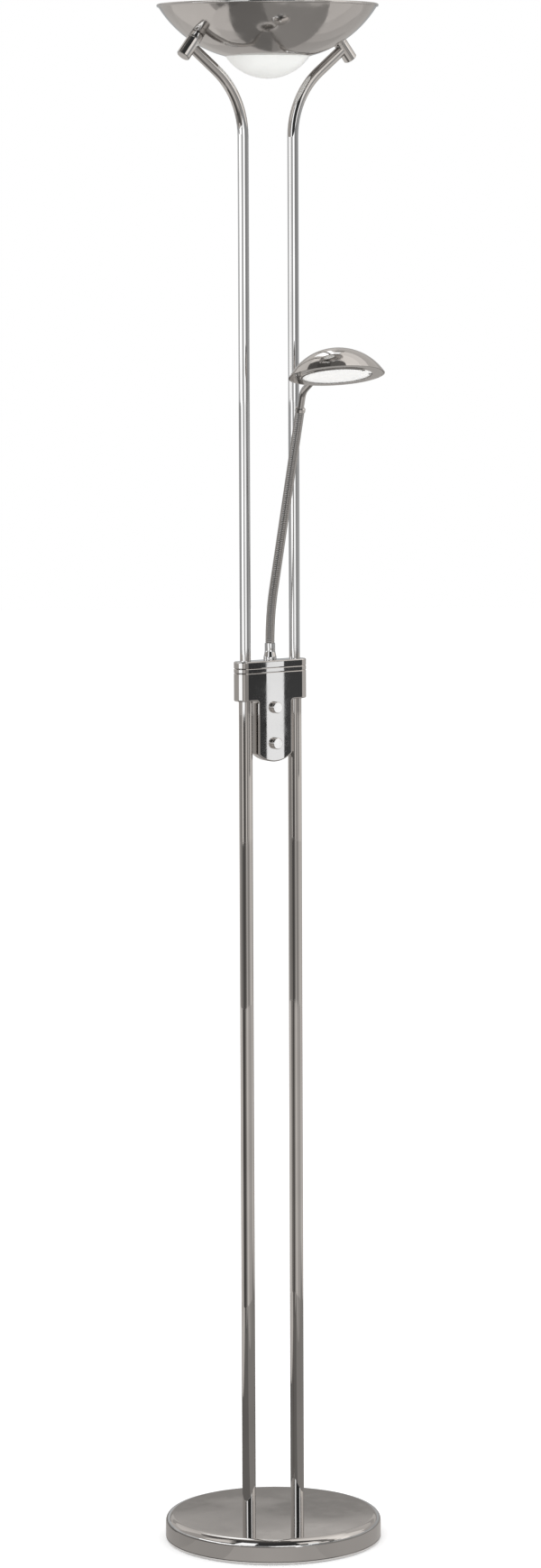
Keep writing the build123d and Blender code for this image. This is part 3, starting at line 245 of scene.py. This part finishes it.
# %% Sizes of the neck
NECK_FOOT, SOCKET_DEPTH = 1.0568, 0.008  # height of its foot, and its depth in the ferrule
NECK_BEND, NECK_LEAN, NECK_STRAIGHT = 0.215, math.radians(17.5), 0.2165  # radius, angle, length
ARM_YAW = math.radians(6.0)  # the arm points a little to the left of the dials
PITCH, NECK_R, BORE_R = 0.002, 0.0054, 0.0033
RIDGE_RISE = 0.45  # a ridge's height against that of a full half-round
RIDGE_FOOT = NECK_R - RIDGE_RISE * PITCH / 2  # radius at which the ridges start
RIDGE_CORNERS, SIDES = 16, 24  # corners of the whole circle, and steps in one turn
SPARE, EXTRA_TURNS = 0.006, 2  # wound beyond each end, to be cut off
TINY = 1e-6
neck_length = SOCKET_DEPTH + NECK_BEND * NECK_LEAN + NECK_STRAIGHT
turns = math.ceil((neck_length + 2 * SPARE) / PITCH) + 2 * EXTRA_TURNS
print("neck", round(neck_length, 4), "m long, wound with", turns, "turns")

# %% [markdown]
# One ridge is drawn first, in the plane that holds the tube's axis: half of a small circle,
# pressed a little flatter and moved out to the neck's radius. The two corners at its foot are
# then copied and moved in, and the edge between the copies is the bore's line. Cutting a
# circle in half is simpler than working out the corners of an arc.

# %% Draw one ridge and the bore's line
bpy.ops.object.select_all(action="DESELECT")
bpy.ops.mesh.primitive_circle_add(
    vertices=RIDGE_CORNERS, radius=PITCH / 2, rotation=(math.pi / 2, 0, 0),
)
winding = bpy.context.object
bpy.ops.object.transform_apply(location=False, rotation=True, scale=False)
bpy.ops.object.mode_set(mode="EDIT")
bpy.ops.mesh.select_all(action="SELECT")
bpy.ops.mesh.bisect(
    plane_co=(0, 0, 0), plane_no=(1, 0, 0), clear_inner=True, threshold=TINY / 10,
)
bpy.ops.mesh.select_all(action="SELECT")
bpy.ops.transform.resize(value=(RIDGE_RISE, 1, 1), center_override=(0, 0, 0))
bpy.ops.transform.translate(value=(RIDGE_FOOT, 0, -EXTRA_TURNS * PITCH))
bpy.ops.object.mode_set(mode="OBJECT")
for corner in winding.data.vertices:
    corner.select = corner.co.x < RIDGE_FOOT + TINY
for edge in winding.data.edges:
    edge.select = False
print("corners at the ridge's foot:", sum(v.select for v in winding.data.vertices))
bpy.ops.object.mode_set(mode="EDIT")
bpy.ops.mesh.select_mode(type="VERT")
bpy.ops.mesh.duplicate()
bpy.ops.transform.translate(value=(BORE_R - RIDGE_FOOT, 0, 0))
bpy.ops.mesh.edge_face_add()
bpy.ops.object.mode_set(mode="OBJECT")

# %% [markdown]
# The Screw modifier turns this outline round the axis and lifts it by one pitch in each turn.
# The top corner of one turn lands on the bottom corner of the next, so merging the doubles
# joins all turns into one skin outside and one inside.

# %% Wind the neck
screw = winding.modifiers.new("winding", "SCREW")
screw.screw_offset, screw.iterations = PITCH, turns
screw.steps = screw.render_steps = SIDES
bpy.ops.object.modifier_apply(modifier="winding")
bpy.ops.object.mode_set(mode="EDIT")
bpy.ops.mesh.select_all(action="SELECT")
bpy.ops.mesh.remove_doubles(threshold=TINY)
bpy.ops.mesh.normals_make_consistent(inside=False)
bpy.ops.object.mode_set(mode="OBJECT")
print(turns, "turns of", len(winding.data.polygons), "faces")

# %% [markdown]
# The arm's line goes straight up out of the ferrule, leans out through one gentle bend and
# runs on straight. The same formula gives its points and its direction at any length, so the
# curve, the cuts and the places where the neck bends all agree.


# %% Bend it to the arm's line
def neck_line(length):
    """Point and direction of the neck's middle line at a length from its foot."""
    turned = min(max(length - SOCKET_DEPTH, 0.0) / NECK_BEND, NECK_LEAN)
    beyond = max(length - SOCKET_DEPTH - NECK_BEND * NECK_LEAN, 0.0)
    out = NECK_BEND * (1 - math.cos(turned)) + beyond * math.sin(turned)
    up = min(length, SOCKET_DEPTH) + NECK_BEND * math.sin(turned) + beyond * math.cos(turned)
    outward = Vector((-math.sin(ARM_YAW), -math.cos(ARM_YAW), 0.0))
    upward = Vector((0.0, 0.0, 1.0))
    return (
        outward * out + upward * (NECK_FOOT + up),
        outward * math.sin(turned) + upward * math.cos(turned),
    )


stops = [-SPARE, SOCKET_DEPTH, SOCKET_DEPTH + NECK_BEND * NECK_LEAN, neck_length + SPARE]
handle_lengths = [
    (SOCKET_DEPTH + SPARE) / 3,
    4 / 3 * math.tan(NECK_LEAN / 4) * NECK_BEND,  # makes this span a round bend
    (NECK_STRAIGHT + SPARE) / 3,
]
bpy.ops.curve.primitive_bezier_curve_add()
line = bpy.context.object
points = line.data.splines[0].bezier_points
points.add(len(stops) - len(points))
for number, (point, length) in enumerate(zip(points, stops)):
    place, heading = neck_line(length)
    point.handle_left_type = point.handle_right_type = "FREE"
    point.co = place
    point.handle_left = place - heading * handle_lengths[max(number - 1, 0)]
    point.handle_right = place + heading * handle_lengths[min(number, 2)]
line.data.resolution_u = 64
bend = winding.modifiers.new("arm_line", "CURVE")
bend.object, bend.deform_axis = line, "POS_Z"
bpy.ops.object.select_all(action="DESELECT")
winding.select_set(True)
bpy.context.view_layer.objects.active = winding
bpy.ops.object.modifier_apply(modifier="arm_line")
bpy.data.objects.remove(line)
print("the line's end", [round(v, 5) for v in neck_line(neck_length)[0]])

# %% [markdown]
# Each length is cut square to the line at both ends. At each end the outer ridge and the bore
# are bridged, so that every length is a closed tube wall. Each length takes the place of the
# imported piece of the neck, which is hidden.

# %% Cut the three lengths
AT_THE_CUT = 0.0001  # how near to a cut an open edge belongs to it
SMOOTH_BELOW = math.radians(50)


def close_end(tube, place, heading):
    """Bridges the open edges at one cut; an open edge belongs to a single face."""
    faces_at = Counter(key for face in tube.data.polygons for key in face.edge_keys)
    for edge in tube.data.edges:
        ends = [tube.data.vertices[n].co for n in edge.vertices]
        near = all(abs((end - place).dot(heading)) < AT_THE_CUT for end in ends)
        edge.select = near and faces_at[edge.key] == 1
    bpy.ops.object.mode_set(mode="EDIT")
    bpy.ops.mesh.bridge_edge_loops()
    bpy.ops.mesh.select_all(action="SELECT")
    bpy.ops.mesh.normals_make_consistent(inside=False)
    bpy.ops.object.mode_set(mode="OBJECT")


def neck_piece(name, start, stop):
    """The wound tube between two lengths along the arm."""
    bpy.ops.object.select_all(action="DESELECT")
    winding.select_set(True)
    bpy.context.view_layer.objects.active = winding
    bpy.ops.object.duplicate()
    tube = bpy.context.object
    tube.name = tube.data.name = name
    for (place, heading), below in ((neck_line(start), True), (neck_line(stop), False)):
        bpy.ops.object.mode_set(mode="EDIT")
        bpy.ops.mesh.select_mode(type="EDGE")
        bpy.ops.mesh.select_all(action="SELECT")
        bpy.ops.mesh.bisect(
            plane_co=place, plane_no=heading, clear_inner=below, clear_outer=not below,
            threshold=TINY / 10,
        )
        bpy.ops.mesh.select_all(action="DESELECT")
        bpy.ops.object.mode_set(mode="OBJECT")
        for part in (*tube.data.vertices, *tube.data.polygons):
            part.select = False
        close_end(tube, place, heading)
    bpy.ops.object.shade_smooth_by_angle(angle=SMOOTH_BELOW)
    tube.data.materials.clear()
    tube.data.materials.append(finishes["neck_chrome"])
    return tube


third = (neck_length - SOCKET_DEPTH) / 3
cuts = [0.0] + [SOCKET_DEPTH + third * n for n in (1, 2, 3)]
for number, name in enumerate(("lower", "middle", "upper")):
    tube = neck_piece(f"wound_neck_{name}", cuts[number], cuts[number + 1])
    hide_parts(f"gooseneck_{name}")
    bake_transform(tube)
    print(tube.name, len(tube.data.polygons), "faces")
bpy.data.objects.remove(winding)

# %% [markdown]
# The camera stands to the left of the dials and a little below the bowl, and looks slightly
# down. A long lens from nearly six metres keeps the two poles almost parallel.

# %% Camera
CAMERA_PLACE = (-3.2131, -4.7636, 1.5582)
TURN, DIP, ROLL = math.radians(-34.0), math.radians(6.537), math.radians(-0.224)
LENS, FILM_WIDTH = 113.76, 36.0  # millimetres
bpy.ops.object.camera_add(location=CAMERA_PLACE)
camera = bpy.context.object
camera.rotation_mode = "QUATERNION"
aim = Vector((-math.sin(TURN) * math.cos(DIP), math.cos(TURN) * math.cos(DIP), -math.sin(DIP)))
level = Vector((math.cos(TURN), math.sin(TURN), 0.0))
upright = level.cross(aim)
right = level * math.cos(ROLL) + upright * math.sin(ROLL)
above = upright * math.cos(ROLL) - level * math.sin(ROLL)
camera.rotation_quaternion = Matrix((right, above, -aim)).transposed().to_quaternion()
camera.data.lens, camera.data.sensor_width = LENS, FILM_WIDTH
bpy.context.scene.camera = camera
print("looking along", [round(v, 4) for v in aim])

# %% [markdown]
# The studio is a white floor under an even white sky. The floor is lit like the lamp, so that
# it keeps the lamp's shadow, and only to the camera, to plating and to glass does it glow a
# little as well. So the background is white without more light falling on the lamp.

# %% Floor and sky
FLOOR_R, FLOOR_GLOW = 14.0, 0.2
WHITE = (1.0, 1.0, 1.0, 1.0)


def ray_kinds(tree, *kinds):
    """1 for rays of any of these kinds, else 0."""
    rays = tree.nodes.new("ShaderNodeLightPath")
    found = rays.outputs[kinds[0]]
    for kind in kinds[1:]:
        either = tree.nodes.new("ShaderNodeMath")
        either.operation = "MAXIMUM"
        tree.links.new(found, either.inputs[0])
        tree.links.new(rays.outputs[kind], either.inputs[1])
        found = either.outputs[0]
    return found


bpy.ops.mesh.primitive_circle_add(vertices=64, radius=FLOOR_R, fill_type="NGON")
floor = bpy.context.object
floor.name = "studio_floor"
paint, tree, shader, _ = new_finish("studio_white")
set_up(shader, {
    "Base Color": (0.93, 0.93, 0.93, 1.0), "Roughness": 0.9, "Specular IOR Level": 0.0,
    "Emission Color": WHITE,
})
shown = ray_kinds(tree, "Is Camera Ray", "Is Glossy Ray", "Is Transmission Ray")
tree.links.new(between(tree, shown, 0.0, FLOOR_GLOW), shader.inputs["Emission Strength"])
floor.data.materials.append(paint)

sky = bpy.data.worlds.new("studio_sky")
bpy.context.scene.world = sky
sky.use_nodes = True
set_up(sky.node_tree.nodes["Background"], {"Color": WHITE, "Strength": 1.0})
print("floor of radius", FLOOR_R, "m under a white sky")

# %% [markdown]
# Plated metal needs more than a white room: it shows whatever stands round it, so a
# photographer hangs grey and black cards and bright strips just outside the picture. The cards
# here glow at a set brightness and are seen only in reflections. Most of them are strips bent
# round the lamp. A strip is placed by two angles to the right of the camera's own side,
# because that is how one thinks of it when looking at the picture: a card at -60 shows on the
# left part of every pole. Its two edges are each given as a distance from the lamp and a
# height, so that one helper makes rings on the floor, walls and the tent above.

# %% How a card is made
COOL, WARM = (0.975, 1.0, 1.02, 1.0), (1.04, 1.0, 0.96, 1.0)
NEARLY_BLACK, DAZZLING = 0.08, 1.3  # cards darker or brighter than these are cool
CARD_STEP = 5  # degrees from one fold of a strip to the next


def light_up(sheet, glow):
    """Makes a sheet glow, seen in reflections alone; walls and extreme tones are cool."""
    sheet.visible_camera = sheet.visible_diffuse = sheet.visible_shadow = False
    material, _, shader, _ = new_finish(sheet.name)
    cool = glow < NEARLY_BLACK or glow > DAZZLING or sheet.name.startswith("wall")
    set_up(shader, {
        "Base Color": (0.0, 0.0, 0.0, 1.0), "Specular IOR Level": 0.0,
        "Emission Color": COOL if cool else WARM, "Emission Strength": glow,
    })
    sheet.data.materials.append(material)


def card(name, start, stop, edge_a, edge_b, glow):
    """A bent card between two angles and two edges (distance, height), glowing so brightly."""
    folds = max(1, round((stop - start) / CARD_STEP))
    bpy.ops.mesh.primitive_grid_add(x_subdivisions=folds, y_subdivisions=1, size=2.0)
    strip = bpy.context.object
    strip.name = name
    for corner in strip.data.vertices:
        across, along = (corner.co.x + 1) / 2, (corner.co.y + 1) / 2
        angle = TURN + math.radians(start + across * (stop - start)) - math.pi / 2
        distance = edge_a[0] + along * (edge_b[0] - edge_a[0])
        height = edge_a[1] + along * (edge_b[1] - edge_a[1])
        corner.co = (distance * math.cos(angle), distance * math.sin(angle), height)
    light_up(strip, glow)


def ring_of_cards(name, edge_a, edge_b, *sectors):
    """Cards side by side between two edges; each sector is where it stops and its glow."""
    start = -180
    for stop, glow in sectors:
        card(f"{name}_{start}", start, stop, edge_a, edge_b, glow)
        start = stop
    print(name, len(sectors), "cards")


# %% [markdown]
# The floor is what the lower poles, the base's rim and the underside of the bowl show. Rings
# of cards lie on it, from the base's own edge out to the walls. Under the lamp two darker
# cards with straight edges lie on top of them, because the bowl shows that place large, and
# the dark wedge in the middle of its underside has straight sides.

# %% Cards on the floor
RING_LIFT, SHEET_LIFT, BASE_RING_LIFT = 0.002, 0.003, 0.004  # stacked in this order
BASE_SIDE, BASE_RING_R = 0.1278, 0.215
WALLS_R = 12.0


def floor_card(name, corners, glow):
    """A flat card on the floor; each corner is so far to the right and so far to the front."""
    bpy.ops.mesh.primitive_plane_add(size=2.0)
    sheet = bpy.context.object
    sheet.name = name
    toward = Vector((math.sin(TURN), -math.cos(TURN), 0.0))
    across = Vector((math.cos(TURN), math.sin(TURN), 0.0))
    for corner, (right_of, front_of) in zip((0, 1, 3, 2), corners):
        place = across * right_of + toward * front_of
        sheet.data.vertices[corner].co = (place.x, place.y, SHEET_LIFT)
    light_up(sheet, glow)


def floor_ring(name, inner, outer, *sectors):
    """A ring of cards that lies on the floor between two distances."""
    ring_of_cards(name, (inner, RING_LIFT), (outer, RING_LIFT), *sectors)


ring_of_cards(
    "floor_by_base", (BASE_SIDE, BASE_RING_LIFT), (BASE_RING_R, BASE_RING_LIFT),
    (-60, 0.4), (-28, 0.44), (30, 0.52), (180, 0.47),
)
floor_card("dark_floor_left", [(-1.05, 0.6), (-0.2, 1.3), (0.1, 0.0), (0.05, -2.0)], 0.18)
floor_card("dark_floor_right", [(-0.2, 1.3), (1.75, 0.1), (0.05, -2.0), (0.1, 0.0)], 0.3)
floor_ring(
    "floor_near", 0.2, 1.3,
    (-150, 0.46), (-125, 0.56), (-60, 0.66), (-28, 0.15), (30, 0.45), (84, 0.36), (140, 0.6),
    (180, 0.46),
)
floor_ring(
    "floor_middle", 1.3, 4.0,
    (-160, 0.5), (-140, 0.6), (-84, 0.72), (-73, 0.4), (-28, 0.1), (-14, 0.3), (-4, 0.55),
    (12, 0.75), (30, 0.62), (84, 0.5), (118, 0.7), (140, 0.62), (155, 0.52), (180, 0.44),
)
floor_ring(
    "floor_far", 4.0, 6.6,
    (-120, 0.56), (-97, 0.42), (-70, 0.3), (-47, 0.16), (-16, 0.1), (0, 0.22), (14, 0.6),
    (26, 0.45), (46, 0.33), (62, 0.45), (130, 0.7), (180, 0.5),
)
floor_ring(
    "floor_farther", 6.6, 9.8,
    (-120, 0.55), (-75, 0.35), (-60, 0.25), (-45, 1.2), (-8, 0.12), (4, 0.3), (16, 0.95),
    (32, 0.25), (50, 0.5), (66, 0.6), (130, 0.8), (180, 0.5),
)
floor_ring(
    "floor_edge", 9.8, WALLS_R,
    (-75, 0.5), (-55, 0.5), (-12, 1.7), (6, 0.35), (16, 0.9), (60, 0.35), (130, 0.6),
    (180, 0.45),
)

# %% [markdown]
# The walls are what the upper poles show: each bright or dark card there becomes a line that
# runs down the pole. The tent closes over them like a dome and is what the shade and all tops
# show. Its rings are given by how many degrees they climb, because a curved top spreads them
# out by angle.

# %% Walls and tent
WALL_RAIL, WALL_TOP = 0.9, 2.4


def tent(climb):
    """Distance and height of a point on the tent, at so many degrees above the floor."""
    return WALLS_R * math.cos(math.radians(climb)), WALLS_R * math.sin(math.radians(climb))


ring_of_cards(
    "wall_low", (WALLS_R, 0.0), (WALLS_R, WALL_RAIL),
    (-130, 0.45), (-97, 0.5), (-75, 0.5), (-62, 1.1), (-35, 2.6), (-22, 1.2), (-2, 0.4),
    (32, 1.6), (50, 0.5), (65, 0.28), (92, 0.5), (130, 0.6), (180, 0.45),
)
ring_of_cards(
    "wall_middle", (WALLS_R, WALL_RAIL), (WALLS_R, WALL_TOP),
    (-130, 0.6), (-105, 0.7), (-85, 0.9), (-45, 2.4), (-28, 1.0), (-5, 0.5), (3, 1.1),
    (30, 2.1), (42, 0.8), (65, 0.3), (92, 0.42), (180, 0.5),
)
ring_of_cards(
    "tent_low", (WALLS_R, WALL_TOP), tent(25),
    (-150, 0.42), (-122, 0.6), (-60, 0.5), (-42, 0.15), (-20, 1.7), (38, 0.05), (50, 1.65),
    (62, 0.9), (70, 0.3), (90, 1.3), (115, 0.9), (150, 0.5), (180, 0.42),
)
ring_of_cards(
    "tent_middle", tent(25), tent(48),
    (-150, 0.7), (-122, 0.78), (-85, 0.5), (-50, 0.95), (-41, 0.1), (-20, 1.7), (30, 0.05),
    (55, 1.1), (66, 0.2), (75, 0.4), (100, 1.2), (125, 0.95), (180, 0.6),
)
ring_of_cards(
    "tent_high", tent(48), tent(62),
    (-138, 1.0), (-85, 0.12), (-65, 0.8), (62, 0.05), (80, 0.3), (120, 1.2), (180, 0.92),
)
ring_of_cards(
    "tent_top", tent(62), tent(80),
    (-132, 0.6), (62, 0.09), (80, 0.3), (112, 1.1), (180, 1.05),
)
ring_of_cards("tent_crown", tent(80), tent(90), (180, 0.15))

# %% [markdown]
# A few small cards each make one reflection. Two bands behind the lamp are what the flat top
# of the base shows. Three sheets high up behind it make the flash and the dark band on top of
# the shade. Three narrow cards low on the right stand where the flat face of the housing's
# tongue looks, and put its one white line between two dark sides.

# %% Small cards for single reflections
BACK_CARD_R, FRONT_CARD_R = 11.0, 2.4
FRONT_LOW, FRONT_HIGH = (FRONT_CARD_R, 0.64), (FRONT_CARD_R, 0.85)
card("back_wall_dark", 150, 210, (BACK_CARD_R, 2.7), (BACK_CARD_R, 2.95), 0.3)
card("back_wall_light", 150, 210, (BACK_CARD_R, 3.02), (BACK_CARD_R, 3.9), 0.56)
card("dome_light", -175, -159, (8.07, 7.02), (5.67, 9.07), 2.4)
card("dome_light_end", 176, 188, (6.4, 8.5), (5.5, 9.2), 1.6)
card("dome_dark", 172, 182, (7.7, 7.45), (6.7, 8.3), 0.35)
card("front_card_dark_left", 60, 67.57, FRONT_LOW, FRONT_HIGH, 0.06)
card("front_card_bright", 67.57, 68.25, FRONT_LOW, FRONT_HIGH, 1.31)
card("front_card_dark_right", 68.25, 76, FRONT_LOW, FRONT_HIGH, 0.07)

# %% [markdown]
# Plating takes its whole look from the cards, but the opal dome, the frosted lens and the
# floor need plain light from somewhere. Two soft panels add it to the sky's: a key lamp at the
# left front and a weaker one at the right front that fills its shadows. Neither of them shows
# in the plating, because the cards alone decide what that mirrors.

# %% Lamps
LAMP_AIM = Vector((0.0, 0.0, 1.0))


def panel(name, place, size, watts):
    """A flat lamp panel that faces the middle of the object and shows in no reflection."""
    bpy.ops.object.light_add(type="AREA", location=place)
    lamp = bpy.context.object
    lamp.name = name
    lamp.data.shape = "RECTANGLE"
    lamp.data.size, lamp.data.size_y = size
    lamp.data.energy = watts
    lamp.visible_glossy = False
    lamp.rotation_mode = "QUATERNION"
    lamp.rotation_quaternion = (LAMP_AIM - Vector(place)).to_track_quat("-Z", "Y")
    print(name, watts, "W")


panel("key_lamp", (-3.0, -2.0, 3.2), (1.2, 1.2), 25.0)
panel("fill_lamp", (2.6, -2.4, 2.6), (1.0, 1.6), 12.0)

# %% [markdown]
# The Standard view shows each colour as it was mixed.

# %% Finish
scene = bpy.context.scene
scene.view_settings.view_transform = "Standard"
